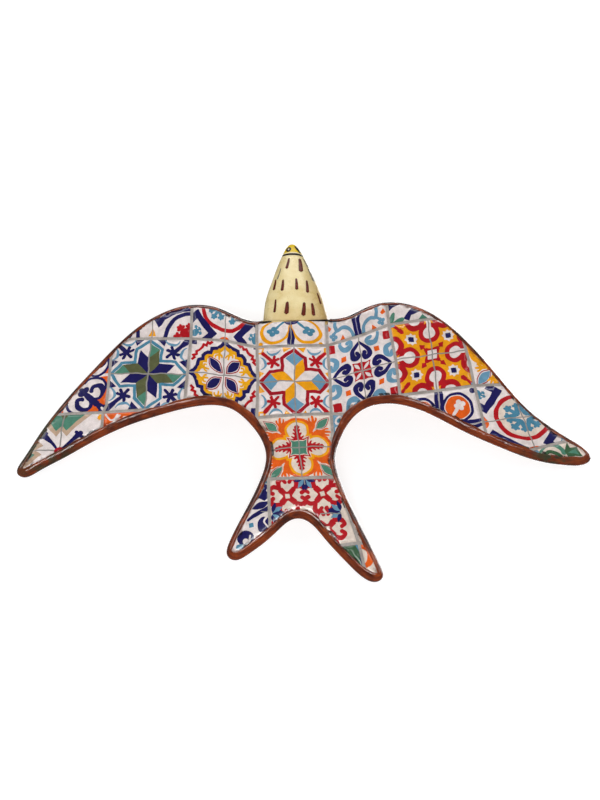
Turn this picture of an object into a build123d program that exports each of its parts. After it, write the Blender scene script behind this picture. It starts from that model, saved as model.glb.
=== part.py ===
"""Glazed clay swallow, a wall ornament built by hand from slabs and faced with patterned tile pieces.

Millimetres. The bird hangs upright: +Z points to the head, +X to the right as seen from the front,
the painted front faces -Y and the wall is the plane y = 0. The origin is the mouth of the nail hole.
"""

import os
from math import cos, exp, pi, radians, tan

from build123d import *

os.makedirs("parts", exist_ok=True)

# Body slab
SLAB = 9.0  # rolled clay thickness
TIP_DEPTH = 7.0  # front of the slab to the wall at the pressed-down tips
DOME = 25.0  # how far the wings arch away from the wall
CROWN = 6.0  # extra swell along the torso
CROWN_WIDTH = 42.0
TORSO_X = -4.0  # centre line of the torso
HALF_SPAN = 213.0
SPAN_SKEW = 0.041  # the right wing reaches further than the left
TAIL_START = 26.0  # below the nail hole by this much the slab starts back to the wall
TAIL_FALL = 142.0
TAIL_LEAN = 0.13

# Facings and joints
FACING = 1.0
GROUT = 0.7
JOINT = 2.2
INSET_STEPS = 150
RIM = 4.0  # bare glazed margin between the slab's edge and the facings

# Neck, head and beak
NECK_FRONT_DEPTH = 39.0
NECK_FRONT_Z = 17.2
NECK_TILT = 25.0  # the seam runs up towards the back
NECK_LEFT, NECK_RIGHT = -27.6, 22.5
TONGUE = (13, 4, 24)  # stands up from the slab inside the hollow head
TONGUE_AT = (-2.4, -30, 24)
HEAD_WALL = 5.0
BEAK_Z = 82.0
BEAK_ROUND = 0.8

# Hanging boss
BOSS_R = 11.0
BOSS_TAPER = -8.0
BOSS_REACH = 31.0
NAIL_R = 3.0
NAIL_DEPTH = 10.0

# Outline of the slab, clockwise from the right of the neck round to its left.
OUTLINE = [
    (24, 22),
    (36, 25.3),
    (51.4, 34.8),
    (70, 40.3),
    (88.7, 38),
    (106.4, 29.6),
    (128.5, 10),
    (151.9, -19),
    (172.6, -44),
    (201.7, -65),
    (212.5, -72),
    (217.6, -79.5),
    (213, -84),
    (201.5, -86),
    (178.6, -84.3),
    (148.8, -75),
    (119, -62.5),
    (91, -48.8),
    (68.5, -44.3),
    (49.5, -49),
    (37.5, -60.5),
    (30, -74.9),
    (26.7, -90),
    (30.5, -105.6),
    (38.3, -123.5),
    (50.9, -147.6),
    (58.8, -163.8),
    (60.8, -172.5),
    (56, -175.4),
    (47.2, -172.7),
    (35, -162),
    (18.8, -145.2),
    (9, -134.8),
    (1.5, -131.2),
    (-6, -132.4),
    (-12.8, -137.6),
    (-25, -147.8),
    (-37.4, -156),
    (-46.5, -159.4),
    (-51.6, -156.5),
    (-50.3, -147.5),
    (-36.5, -121.8),
    (-26.9, -102.2),
    (-23.4, -87),
    (-28.6, -71.7),
    (-37.4, -60),
    (-50.5, -49),
    (-72.6, -45.6),
    (-95.7, -49.7),
    (-124.6, -57.5),
    (-150.8, -68.4),
    (-175.8, -81.8),
    (-193.7, -91.2),
    (-203.5, -94.8),
    (-208.6, -91.5),
    (-206, -83.8),
    (-194.9, -64),
    (-178.2, -39.3),
    (-151.7, -7.9),
    (-125.9, 18.9),
    (-104.4, 32.5),
    (-82.5, 38.2),
    (-63.5, 35.4),
    (-46.4, 26.1),
    (-36, 20.8),
    (-28, 19.8),
]
NECK_TOP = [(-22, 26), (18, 26)]

# Where the joints between facings meet, column by column from the left wing tip to the right.
A0, A1, A2, A3, A4, A5 = (-139.5, 10.5), (-141, -5.5), (-142.5, -44), (-144.8, -49.4), (-145.4, -64.7), (-146, -100)
B0, B1, B2, B3, B4 = (-80.7, 50), (-80.7, 6.7), (-82.5, -22.5), (-83.8, -42.8), (-84.2, -70)
C0, C1, C2, C3 = (-32.3, 50), (-30.9, -4.4), (-29.8, -31.7), (-30.4, -60.6)
D0, D1, D2, D3, D4 = (20.1, 50), (21.4, -3), (23.2, -31.3), (23.9, -57.8), (25.3, -81.3)
E0, E1, E2, E3, E4 = (66.1, 50), (68, 18.1), (72.6, -12.2), (74.8, -40), (76.2, -65)
F0, F1, F2, F3, F4, F5 = (119.5, 28.5), (124.7, 7), (128.2, -10.4), (130.9, -29), (137.7, -66.4), (141, -100)
G0, G1, G2 = (-21.8, -105.5), (-20.2, -143.9), (-19.6, -165)
H0, H1, H2, H3, H4 = (28, -104.1), (32.7, -119.3), (43.1, -150.1), (46.7, -165.3), (50, -185)
# Ends and middles of the joints that run across the bird.
LEFT_TOP, LEFT_MID = (-154.3, 11.4), (-215, -47)
STAR_FOOT, LEAF_TOP = (-113.4, -49.2), (-56, 3.5)
THROAT_FOOT, AMBER_FOOT, FOIL_FOOT = (-5.4, -4.5), (-2.2, -59.7), (3.5, -105.5)
SHOULDER_FOOT, BARS_FOOT, KEY_FOOT = (44.8, 6.7), (97.6, 24.6), (102.7, -35)
SPRIG_FOOT, SPRIG_END = (149.8, -26.7), (175, -24)
RING_FOOT, LEAF_TIP_TOP, LEAF_TIP_END, RING_LOW = (173.8, -77), (197.8, -69.4), (222, -61.7), (150, -84)
WAIST_END, BAR_FOOT, SCRAP_TOP = (50, -57.2), (70, -148.8), (29.7, -151.6)

FACINGS = {
    "facing_chevron_left_tip": [A3, LEFT_MID, (-215, -100), A5, A4],
    "facing_scroll_left": [A0, A1, A2, A3, LEFT_MID, (-215, 20), (-150, 20)],
    "facing_navy_star": [A0, B1, B2, B3, (-84, -48), STAR_FOOT, A3, A2, A1],
    "facing_orange_streak": [A3, STAR_FOOT, (-84, -48), B4, A5, A4],
    "facing_red_coral": [LEFT_TOP, A0, B1, B0, (-154, 50)],
    "facing_ring_left_shoulder": [B1, LEAF_TOP, C1, C0, B0],
    "facing_yellow_leaf": [B1, LEAF_TOP, C1, C2, C3, (-30.4, -70), B4, B3, B2],
    "facing_loops_throat": [C1, THROAT_FOOT, D1, D0, C0],
    "facing_amber_star": [C1, THROAT_FOOT, D1, D2, D3, AMBER_FOOT, C3, C2],
    "facing_quatrefoil": [C3, AMBER_FOOT, D3, D4, (40, -90), (40, -103.5), H0, FOIL_FOOT, G0, (-30.4, -106)],
    "facing_blue_scroll_shoulder": [D1, SHOULDER_FOOT, E1, E0, D0],
    "facing_heart_scroll": [D1, SHOULDER_FOOT, E1, E2, E3, E4, WAIST_END, D3, D2],
    "facing_waist_scrap": [D3, WAIST_END, (50, -90), (40, -90), D4],
    "facing_navy_bars": [E1, BARS_FOOT, F0, (124, 50), E0],
    "facing_amber_keyhole": [E1, BARS_FOOT, F0, F1, F2, F3, KEY_FOOT, E3, E2],
    "facing_orange_arches": [E3, KEY_FOOT, F3, F4, F5, (76, -100), E4],
    "facing_yellow_sprig": [F0, F1, F2, F3, SPRIG_FOOT, SPRIG_END, (175, 28.5)],
    "facing_red_ring": [F3, SPRIG_FOOT, SPRIG_END, (222, -30), LEAF_TIP_END, LEAF_TIP_TOP, RING_FOOT, RING_LOW, F5, F4],
    "facing_green_leaf_tip": [RING_FOOT, LEAF_TIP_TOP, LEAF_TIP_END, (225, -100), (150, -100), RING_LOW],
    "facing_red_scroll": [G0, FOIL_FOOT, H0, H1, H2, SCRAP_TOP, (20, -165), G2, G1],
    "facing_navy_scroll_tail": [G0, G1, G2, (-60, -165), (-60, -106)],
    "facing_red_bar_tail": [H0, (40, -103.5), (70, -110), BAR_FOOT, H2, H1],
    "facing_orange_ring_tail": [H2, BAR_FOOT, (70, -185), H4, H3],
    "facing_blue_scrap_tail": [H2, H3, H4, (20, -185), SCRAP_TOP],
}


def front_depth(x, z):
    """Distance from the wall to the front of the slab."""
    u = x - TORSO_X
    wing = cos(pi / 2 * min(abs(u) / (HALF_SPAN + SPAN_SKEW * u), 1))
    fall = min(max(-(z + TAIL_LEAN * u) - TAIL_START, 0) / TAIL_FALL, 1)
    crown = exp(-((u / CROWN_WIDTH) ** 2))
    return TIP_DEPTH + (DOME * wing + CROWN * crown) * cos(pi / 2 * fall)


def front_surface():
    """The domed front of the slab, a little wider than the bird."""
    columns = [-212 + 434 * i / 38 for i in range(39)]
    rows = [-182 + 230 * i / 22 for i in range(23)]
    grid = [[Vector(x, -front_depth(x, z), z) for z in rows] for x in columns]
    return Face.make_surface_from_array_of_points(grid)


def inset(curve, distance):
    """Points the given distance inside a clockwise curve, leaving out any that a tight turn pushes out."""
    dense = [curve @ (i / 1200) for i in range(1201)]
    points = []
    for i in range(INSET_STEPS + 1):
        place, heading = curve @ (i / INSET_STEPS), curve % (i / INSET_STEPS)
        point = Vector(place.X + distance * heading.Y, place.Y - distance * heading.X)
        if min((point - other).length for other in dense) > distance - 0.1:
            points.append(point)
    return points


def past_neck_seam(left, right):
    """The space above the tilted neck seam, where the slab ends and the head begins."""
    rise = tan(radians(NECK_TILT))
    wall_z = NECK_FRONT_Z + NECK_FRONT_DEPTH * rise
    with BuildPart() as space:
        with BuildSketch(Plane.YZ.offset(left)):
            with BuildLine():
                Polyline((0, wall_z), (-60, wall_z - 60 * rise), (-60, 120), (0, 120), close=True)
            make_face()
        extrude(amount=right - left)
    return space.part


# Elliptical sections of the head: height, centre x, half width, half thickness, distance of the centre from the wall.
HEAD_SECTIONS = [
    (6, -2.4, 24.9, 14.2, 25),
    (25, -2.4, 24.6, 14, 25),
    (38, -2.6, 22.6, 13.2, 24.8),
    (51, -3.4, 19.2, 11.8, 24.4),
    (64, -4, 14.8, 9.6, 24),
    (76, -4.5, 10.2, 7, 23.6),
    (BEAK_Z, -4.7, 7.6, 5.6, 23.4),
]
BEAK_SECTIONS = [
    (BEAK_Z, -4.7, 7.6, 5.6, 23.4),
    (86, -4.9, 5.9, 4.4, 23.2),
    (89.5, -5, 3.9, 3, 23.1),
    (91.8, -5.1, 2, 1.6, 23),
]


def ellipses(sections, thinner=0.0):
    """One horizontal ellipse per section, smaller all round by thinner."""
    faces = []
    for height, middle, wide, thick, out in sections:
        with BuildSketch(Plane(origin=(middle, -out, height))) as ring:
            Ellipse(wide - thinner, thick - thinner)
        faces.append(ring.sketch.face())
    return faces


surface = front_surface()
above_seam = past_neck_seam(NECK_LEFT, NECK_RIGHT)

with BuildSketch(Plane.XZ) as outline:
    with BuildLine():
        edge = Spline(*OUTLINE)
        Polyline(edge @ 1, *NECK_TOP, edge @ 0)
    make_face()

with BuildSketch(Plane.XZ) as inner_outline:
    with BuildLine():
        Spline(*inset(edge, RIM), periodic=True)
    make_face()

with BuildPart() as body_slab:
    add(Solid.extrude(surface, Vector(0, SLAB, 0)))
    extrude(outline.sketch, amount=60, mode=Mode.INTERSECT)
    with Locations((0, 20, 0)):
        Box(600, 40, 600, mode=Mode.SUBTRACT)
    add(above_seam, mode=Mode.SUBTRACT)
    with Locations(TONGUE_AT):
        Box(*TONGUE)
body_slab.part.label = "body_slab"
export_step(body_slab.part, "parts/body_slab.step")

with BuildPart() as head:
    loft(ellipses(HEAD_SECTIONS))
    loft(ellipses(HEAD_SECTIONS[:-1], HEAD_WALL), mode=Mode.SUBTRACT)
    add(past_neck_seam(-40, 40), mode=Mode.INTERSECT)
head.part.label = "head"
export_step(head.part, "parts/head.step")

with BuildPart() as beak:
    loft(ellipses(BEAK_SECTIONS))
    fillet(beak.faces().sort_by(Axis.Z)[-1].edges(), BEAK_ROUND)
beak.part.label = "beak"
export_step(beak.part, "parts/beak.step")

with BuildPart() as hanging_boss:
    with BuildSketch(Plane.XZ):
        Circle(BOSS_R)
    extrude(amount=BOSS_REACH, taper=BOSS_TAPER)
    add(body_slab.part, mode=Mode.SUBTRACT)
    with BuildSketch(Plane.XZ):
        Circle(NAIL_R)
    extrude(amount=NAIL_DEPTH, mode=Mode.SUBTRACT)
hanging_boss.part.label = "hanging_boss"
export_step(hanging_boss.part, "parts/hanging_boss.step")

# One thin painted piece per joint-bounded cell, laid on the front of the slab.
cells = {}
for name, corners in FACINGS.items():
    with BuildSketch(Plane.XZ) as cell:
        with BuildLine():
            Polyline(*corners, close=True)
        make_face()
        offset(amount=-JOINT / 2, kind=Kind.INTERSECTION, mode=Mode.REPLACE)
        add(inner_outline.sketch, mode=Mode.INTERSECT)
    cells[name] = cell.sketch
    with BuildPart() as facing:
        add(Solid.extrude(surface, Vector(0, -FACING, 0)))
        extrude(cell.sketch, amount=60, mode=Mode.INTERSECT)
        add(above_seam, mode=Mode.SUBTRACT)
    facing.part.label = name
    export_step(facing.part, f"parts/{name}.step")

with BuildPart() as grout_joints:
    add(Solid.extrude(surface, Vector(0, -GROUT, 0)))
    with BuildSketch(Plane.XZ) as joints:
        add(inner_outline.sketch)
        for cell in cells.values():
            add(cell, mode=Mode.SUBTRACT)
    extrude(joints.sketch, amount=60, mode=Mode.INTERSECT)
    add(above_seam, mode=Mode.SUBTRACT)
grout_joints.part.label = "grout_joints"
export_step(grout_joints.part, "parts/grout_joints.step")
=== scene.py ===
import math

import bpy
import numpy as np
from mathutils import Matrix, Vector
from mathutils.geometry import delaunay_2d_cdt


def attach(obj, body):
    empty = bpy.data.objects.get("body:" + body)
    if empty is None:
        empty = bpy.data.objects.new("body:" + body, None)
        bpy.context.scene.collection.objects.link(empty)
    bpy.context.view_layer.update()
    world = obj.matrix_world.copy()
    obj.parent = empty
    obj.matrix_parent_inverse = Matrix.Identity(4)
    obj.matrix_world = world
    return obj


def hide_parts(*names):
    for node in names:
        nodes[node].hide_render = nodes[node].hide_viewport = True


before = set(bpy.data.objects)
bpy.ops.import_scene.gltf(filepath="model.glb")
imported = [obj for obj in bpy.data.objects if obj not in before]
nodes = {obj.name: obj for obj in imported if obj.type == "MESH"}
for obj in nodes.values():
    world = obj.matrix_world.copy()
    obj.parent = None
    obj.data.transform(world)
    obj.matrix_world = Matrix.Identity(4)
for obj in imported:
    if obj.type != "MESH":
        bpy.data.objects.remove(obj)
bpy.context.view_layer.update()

MM = 0.001

# Shape of the clay slab, millimetres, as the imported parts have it.
SLAB = 9.0  # rolled clay thickness
FACING = 1.0  # how far a facing stands off the slab
TORSO_X = -4.0  # centre line of the torso
TIP_DEPTH = 7.0  # front of the slab to the wall at the tips
DOME = 25.0  # how far the wings arch away from the wall
CROWN, CROWN_WIDTH = 6.0, 42.0  # extra swell along the torso
HALF_SPAN, SPAN_SKEW = 213.0, 0.041
TAIL_START, TAIL_FALL, TAIL_LEAN = 26.0, 142.0, 0.13
NECK_X = -2.5  # middle of the neck
NECK_TILT = 25  # degrees that the neck seam climbs towards the back
SEAM_Z, SEAM_OUT = 17.2, 39.0  # front of the neck seam: height, and distance from the wall
BEAK_FOOT, HEAD_TOP = 82.0, 91.8
HEAD_WALL = 5.0
OUTLINE_STEP = 1.6


def front_depth(x, z):
    """Distance from the wall to the front of the slab under a point."""
    u = x - TORSO_X
    wing = np.cos(np.pi / 2 * np.clip(np.abs(u) / (HALF_SPAN + SPAN_SKEW * u), 0, 1))
    fall = np.clip((-(z + TAIL_LEAN * u) - TAIL_START) / TAIL_FALL, 0, 1)
    crown = np.exp(-((u / CROWN_WIDTH) ** 2))
    return TIP_DEPTH + (DOME * wing + CROWN * crown) * np.cos(np.pi / 2 * fall)


def wavy(x, z, scale, seed=0.0):
    """Slow unevenness of handwork, between about -1 and 1."""
    a = np.sin(x / scale + 1.7 * np.sin(z / scale * 0.7 + seed) + seed)
    b = np.sin(z / scale * 1.3 + 1.1 * np.sin(x / scale * 0.9 - seed) + 2.1 * seed)
    return 0.5 * (a + b)


# ---------------------------------------------------------------- colours and materials


def linear(code):
    """A display colour in hexadecimal as linear light."""
    values = [int(code[i : i + 2], 16) / 255 for i in (0, 2, 4)]
    return tuple(v / 12.92 if v <= 0.04045 else ((v + 0.055) / 1.055) ** 2.4 for v in values) + (1.0,)


PAINT = {
    "white": "DED4D2",
    "cream": "D8C9BC",
    "navy": "161352",
    "red": "AB101B",
    "wine": "97101F",
    "orange": "DA5A16",
    "amber": "E2990F",
    "yellow": "DD9E12",
    "blue": "6390AB",
    "teal": "467E98",
    "green": "4B7F6B",
    "moss": "3B5C40",
    "olive": "565A3B",
    "beige": "B59B84",
    "line": "8C8884",
    "lilac": "8B84A8",
}
PAINT = {name: linear(code) for name, code in PAINT.items()}


def node(tree, kind, inputs=None, output=0, **settings):
    """Adds a node and gives back one output. An input takes a value, or the output that feeds it."""
    new = tree.nodes.new(kind)
    for key, value in settings.items():
        setattr(new, key, value)
    for key, value in (inputs or {}).items():
        if isinstance(value, bpy.types.NodeSocket):
            tree.links.new(value, new.inputs[key])
        else:
            new.inputs[key].default_value = value
    return new.outputs[output]


def material(name):
    """An empty material, its node tree, its surface shader and its object-space position."""
    made = bpy.data.materials.new(name)
    made.use_nodes = True
    tree = made.node_tree
    place = node(tree, "ShaderNodeTexCoord", output="Object")
    return made, tree, tree.nodes["Principled BSDF"], place


def mottle(tree, place, size_mm, detail, band=None, least=0.0, most=1.0, rough=0.55):
    """Soft patches about size_mm across, whose band is spread from least to most."""
    values = {"Vector": place, "Scale": 1000.0 / size_mm, "Detail": detail, "Roughness": rough}
    patches = node(tree, "ShaderNodeTexNoise", values, "Fac")
    if band is None:
        return patches
    values = {"Value": patches, "From Min": band[0], "From Max": band[1], "To Min": least, "To Max": most}
    return node(tree, "ShaderNodeMapRange", values, "Result")


def layered(tree, place, colour, layers, blend="MIX"):
    """Lays each colour over the last: in soft patches, or where a ready share says."""
    for *patches, code in layers:
        share = patches[0]
        if len(patches) > 1:
            size_mm, detail, band, most = patches
            share = mottle(tree, place, size_mm, detail, band, 0.0, most)
        parts = {0: share, 6: colour, 7: linear(code)}
        colour = node(tree, "ShaderNodeMix", parts, 2, data_type="RGBA", blend_type=blend)
    return colour


def rough_skin(tree, place, coarse, fine, share):
    """The height of a coarse unevenness with a share of a finer one on it."""
    parts = {0: mottle(tree, place, *fine), 1: share, 2: mottle(tree, place, *coarse)}
    return node(tree, "ShaderNodeMath", parts, operation="MULTIPLY_ADD")


def finished(tree, shader, colour, roughness, height, depth_mm):
    """Joins the colour, the roughness and the raised pattern to the surface."""
    normal = node(tree, "ShaderNodeBump", {"Strength": 1.0, "Distance": depth_mm * MM, "Height": height})
    for key, source in (("Base Color", colour), ("Roughness", roughness), ("Normal", normal)):
        tree.links.new(source, shader.inputs[key])


MID = (0.3, 0.7)  # the band that holds most of a noise pattern


def tin_glaze():
    """Hand-painted tin glaze: milky ground, brushed oxides, a wavy glassy skin with pinholes."""
    made, tree, shader, place = material("hand painted tin glaze")
    paint = node(tree, "ShaderNodeAttribute", output="Color", attribute_name="paint")
    rim = node(tree, "ShaderNodeAttribute", output="Fac", attribute_name="rim")
    # oxide lies thicker in the brush's path, so the colour breathes over a few millimetres
    brush = mottle(tree, place, 5, 4, MID, 0.84, 1.12)
    shade = node(tree, "ShaderNodeCombineColor", {"Red": brush, "Green": brush, "Blue": brush})
    parts = {0: 1.0, 6: paint, 7: shade}
    colour = node(tree, "ShaderNodeMix", parts, 2, data_type="RGBA", blend_type="MULTIPLY")
    # fine grain, then warm smoke from the kiln in wide soft patches
    grain, smoke = (0.8, 2, (0.35, 0.65), 0.22, "C2B4AC"), (38, 2, (0.42, 0.72), 0.16, "B89C84")
    colour = layered(tree, place, colour, [grain, smoke], "MULTIPLY")
    # translucent brown glaze washes in from the rim
    parts = {0: rim, 1: mottle(tree, place, 9, 3, MID, -2.6, 2.6)}
    reach = node(tree, "ShaderNodeMath", parts, operation="ADD")
    parts = {"Value": reach, "From Min": 3.6, "From Max": 5.6, "To Min": 0.75, "To Max": 0.0}
    wash = node(tree, "ShaderNodeMapRange", parts, "Result")
    colour = layered(tree, place, colour, [(wash, "7A4A28")], "MULTIPLY")
    # strokes of the black edging brush stray onto the tiles
    parts = {0: rim, 1: mottle(tree, place, 12, 3, (0.38, 0.62), 3.4, -2.2)}
    reach = node(tree, "ShaderNodeMath", parts, operation="ADD")
    parts = {"Value": reach, "From Min": 3.4, "From Max": 4.0, "To Min": 0.92, "To Max": 0.0}
    stray = node(tree, "ShaderNodeMapRange", parts, "Result")
    colour = layered(tree, place, colour, [(stray, "16100F")])
    skin = rough_skin(tree, place, (11, 2), (0.9, 2), 0.12)
    finished(tree, shader, colour, mottle(tree, place, 14, 3, MID, 0.1, 0.2), skin, 0.35)
    shader.inputs["IOR"].default_value = 1.5
    shader.inputs["Coat Weight"].default_value = 0.1
    shader.inputs["Coat Roughness"].default_value = 0.05
    return made


def brown_glaze():
    """Runny brown lead glaze: thin and orange where it breaks over the edge, black where it pools."""
    made, tree, shader, place = material("runny brown glaze")
    along = node(tree, "ShaderNodeAttribute", output="Vector", attribute_name="along")
    parts = {"Vector": along, "Scale": 1.0, "Detail": 4.0, "Roughness": 0.6}
    streak = node(tree, "ShaderNodeTexNoise", parts, "Fac")
    parts = {"Value": streak, "From Min": 0.34, "From Max": 0.66}
    breaks = node(tree, "ShaderNodeMapRange", parts, "Result")
    pools = [(breaks, "963F0C"), (16, 3, (0.52, 0.66), 0.8, "2A0D06")]
    colour = layered(tree, place, linear("561A06"), pools)
    # black edging, deepened by painted shade on the edges that face up, then a green copper bloom at the
    # wing tips
    for name, size_mm, band, code in (
        ("black_edging_and_shade", 13, (0.44, 0.56), "120908"),
        ("copper", 9, (0.4, 0.55), "2C3A24"),
    ):
        where = node(tree, "ShaderNodeAttribute", output="Fac", attribute_name=name)
        parts = {0: where, 1: mottle(tree, place, size_mm, 2, band)}
        share = node(tree, "ShaderNodeMath", parts, operation="MULTIPLY")
        colour = layered(tree, place, colour, [(share, code)])
    colour = layered(tree, place, colour, [(1.2, 2, MID, 0.25, "5E2410")])
    parts = {0: streak, 1: mottle(tree, place, 4, 3)}
    runs = node(tree, "ShaderNodeMath", parts, operation="ADD")
    finished(tree, shader, colour, mottle(tree, place, 7, 3, MID, 0.1, 0.24), runs, 0.5)
    shader.inputs["IOR"].default_value = 1.55
    shader.inputs["Coat Weight"].default_value = 0.2
    shader.inputs["Coat Roughness"].default_value = 0.05
    return made


def terracotta():
    """Bare low-fired terracotta: dusty orange with grog specks, rubbed smooth by hand."""
    made, tree, shader, place = material("bare terracotta")
    colour = layered(tree, place, linear("9C5434"), [(22, 4, MID, 1.0, "B66B45")])
    specks = mottle(tree, place, 1.6, 2, (0.62, 0.7), 0.0, 0.55, 0.7)
    dust = (6, 4, (0.5, 0.75), 0.35, "D29A78")
    colour = layered(tree, place, colour, [(specks, "6B3420"), dust])
    skin = rough_skin(tree, place, (12, 3), (1.1, 3), 0.3)
    finished(tree, shader, colour, mottle(tree, place, 5, 3, MID, 0.72, 0.92), skin, 0.5)
    return made


def mortar():
    """Grey joint mortar under clear glaze: sandy, uneven, a little sunken."""
    made, tree, shader, place = material("grey joint mortar")
    sand = [(6, 4, MID, 1.0, "A69F99"), (0.7, 2, (0.55, 0.7), 0.5, "645C56")]
    colour = layered(tree, place, linear("857C76"), sand)
    roughness = mottle(tree, place, 3, 2, MID, 0.35, 0.6)
    finished(tree, shader, colour, roughness, mottle(tree, place, 1.4, 4), 0.3)
    return made


def cream_glaze():
    """Cream slip under thin glaze on the head: brushed round, tan where the clay shows through, with
    painted shade on its right side.
    """
    made, tree, shader, place = material("cream slip glaze")
    colour = layered(tree, place, linear("D6C084"), [(10, 4, MID, 1.0, "E2D2A0")])
    # painted shade: darker and warmer towards the right side, metres
    side = node(tree, "ShaderNodeSeparateXYZ", {"Vector": place}, "X")
    parts = {"Value": side, "From Min": 0.002, "From Max": 0.02, "To Min": 0.0, "To Max": 0.75}
    right_side_shade = node(tree, "ShaderNodeMapRange", parts, "Result")
    colour = layered(tree, place, colour, [(right_side_shade, "B08C48")])
    # darker round the foot, with a ragged upper edge
    height = node(tree, "ShaderNodeSeparateXYZ", {"Vector": place}, "Z")
    parts = {0: mottle(tree, place, 8, 2), 1: 0.006, 2: height}
    ragged = node(tree, "ShaderNodeMath", parts, operation="MULTIPLY_ADD")
    parts = {"Value": ragged, "From Min": 0.02, "From Max": 0.034, "To Min": 0.5, "To Max": 0.0}
    foot = node(tree, "ShaderNodeMapRange", parts, "Result")
    specks = (1.0, 2, (0.62, 0.72), 0.35, "A58648")
    colour = layered(tree, place, colour, [(foot, "C0A066"), specks])
    skin = rough_skin(tree, place, (9, 3), (1.0, 2), 0.15)
    finished(tree, shader, colour, mottle(tree, place, 6, 3, MID, 0.22, 0.4), skin, 0.5)
    shader.inputs["IOR"].default_value = 1.5
    return made


def brushed_colour(name, low, high, rough):
    """A brushed glaze colour, thicker and darker in places."""
    made, tree, shader, place = material(name)
    colour = layered(tree, place, linear(low), [(2.5, 4, MID, 1.0, high)])
    roughness = mottle(tree, place, 4, 3, MID, rough - 0.06, rough + 0.1)
    finished(tree, shader, colour, roughness, mottle(tree, place, 2.0, 3), 0.2)
    shader.inputs["IOR"].default_value = 1.5
    shader.inputs["Specular IOR Level"].default_value = 0.22
    return made


MATERIALS = {
    "painted_tin_glaze": tin_glaze(),
    "brown_glaze": brown_glaze(),
    "bare_terracotta": terracotta(),
    "joint_mortar": mortar(),
    "cream_glaze": cream_glaze(),
    # strong yellow glaze on the beak, a little brushed
    "yellow_glaze": brushed_colour("yellow beak glaze", "CBA410", "E2C422", 0.25),
    # thick maroon-brown slip of the feather dashes
    "maroon_slip": brushed_colour("maroon brown slip", "4A130A", "642212", 0.3),
    # near-black line slip of the eyes and the beak line
    "black_slip": brushed_colour("black line slip", "100C0A", "241A14", 0.3),
    # thin grey slip of the side feathers
    "grey_slip": brushed_colour("thin grey slip", "6A6458", "8A8272", 0.35),
    # pale dot inside the eye ring
    "pale_slip": brushed_colour("pale eye slip", "CFC09A", "E6DAB8", 0.3),
}

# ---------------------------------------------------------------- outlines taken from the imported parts


def front_loops(name):
    """Boundary loops, in millimetres across and up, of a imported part's faces that look forward."""
    mesh = nodes[name].data
    key = lambda index: tuple(round(c * 1e6) for c in mesh.vertices[index].co)
    sides = {}
    for face in mesh.polygons:
        if face.normal.y < -0.6:
            corners = [key(i) for i in face.vertices]
            for a, b in zip(corners, corners[1:] + corners[:1]):
                if (b, a) in sides:
                    del sides[(b, a)]
                else:
                    sides[(a, b)] = True
    after = dict(sides.keys())
    loops = []
    while after:
        start = next(iter(after))
        loop = [start]
        step = after.pop(start)
        while step != start and step in after:
            loop.append(step)
            step = after.pop(step)
        loops.append(np.array(loop)[:, [0, 2]] / 1000.0)
    return sorted(loops, key=len, reverse=True)


def spaced(loop, step):
    """The closed loop walked in equal steps."""
    closed = np.vstack([loop, loop[:1]])
    run = np.concatenate([[0], np.cumsum(np.hypot(*np.diff(closed, axis=0).T))])
    count = max(int(run[-1] / step), 8)
    marks = np.linspace(0, run[-1], count, endpoint=False)
    return np.stack([np.interp(marks, run, closed[:, i]) for i in (0, 1)], 1)


def filled(loop, step):
    """The closed loop with its long sides divided but its own corners kept."""
    points = []
    for a, b in zip(loop, np.roll(loop, -1, axis=0)):
        parts = max(int(np.hypot(*(b - a)) / step), 1)
        points += [a + (b - a) * i / parts for i in range(parts)]
    return np.array(points)


def softened(values, width):
    """A closed run of values smoothed along itself."""
    reach = int(width * 3) + 1
    weights = np.exp(-0.5 * (np.arange(-reach, reach + 1) / width) ** 2)
    weights /= weights.sum()
    return sum(w * np.roll(values, k, axis=0) for w, k in zip(weights, range(-reach, reach + 1)))


def inside(points, loop):
    """Which points lie inside a closed loop."""
    x, y = points[:, 0][:, None], points[:, 1][:, None]
    x0, y0 = loop[:, 0], loop[:, 1]
    x1, y1 = np.roll(x0, -1), np.roll(y0, -1)
    crosses = (y0 > y) != (y1 > y)
    slope = np.where(y1 == y0, 1.0, y1 - y0)
    hits = crosses & (x < (x1 - x0) * (y - y0) / slope + x0)
    return hits.sum(1) % 2 == 1


def distance(points, loop):
    """Distance from each point to a closed loop of close points."""
    out = np.empty(len(points))
    for i in range(0, len(points), 2000):
        part = points[i : i + 2000]
        gaps = part[:, None, :] - loop[None, :, :]
        out[i : i + 2000] = np.sqrt((gaps**2).sum(2).min(1))
    return out


outline = spaced(front_loops("body_slab")[0], OUTLINE_STEP)
outline = softened(outline, 1.2)
turn = np.sum(outline[:, 0] * np.roll(outline[:, 1], -1) - np.roll(outline[:, 0], -1) * outline[:, 1])
if turn > 0:
    outline = outline[::-1]

# ---------------------------------------------------------------- meshes


def new_object(name, points, faces, slots, indices=None):
    """A mesh in millimetres as an object in metres that takes a CAD body's place."""
    mesh = bpy.data.meshes.new(name)
    mesh.from_pydata([tuple(p) for p in np.asarray(points) * MM], [], faces)
    for slot_name in slots:
        mesh.materials.append(MATERIALS[slot_name])
    if indices is not None:
        mesh.polygons.foreach_set("material_index", indices)
    mesh.polygons.foreach_set("use_smooth", [True] * len(mesh.polygons))
    made = bpy.data.objects.new(name, mesh)
    bpy.context.scene.collection.objects.link(made)
    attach(made, "root")
    return made


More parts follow.
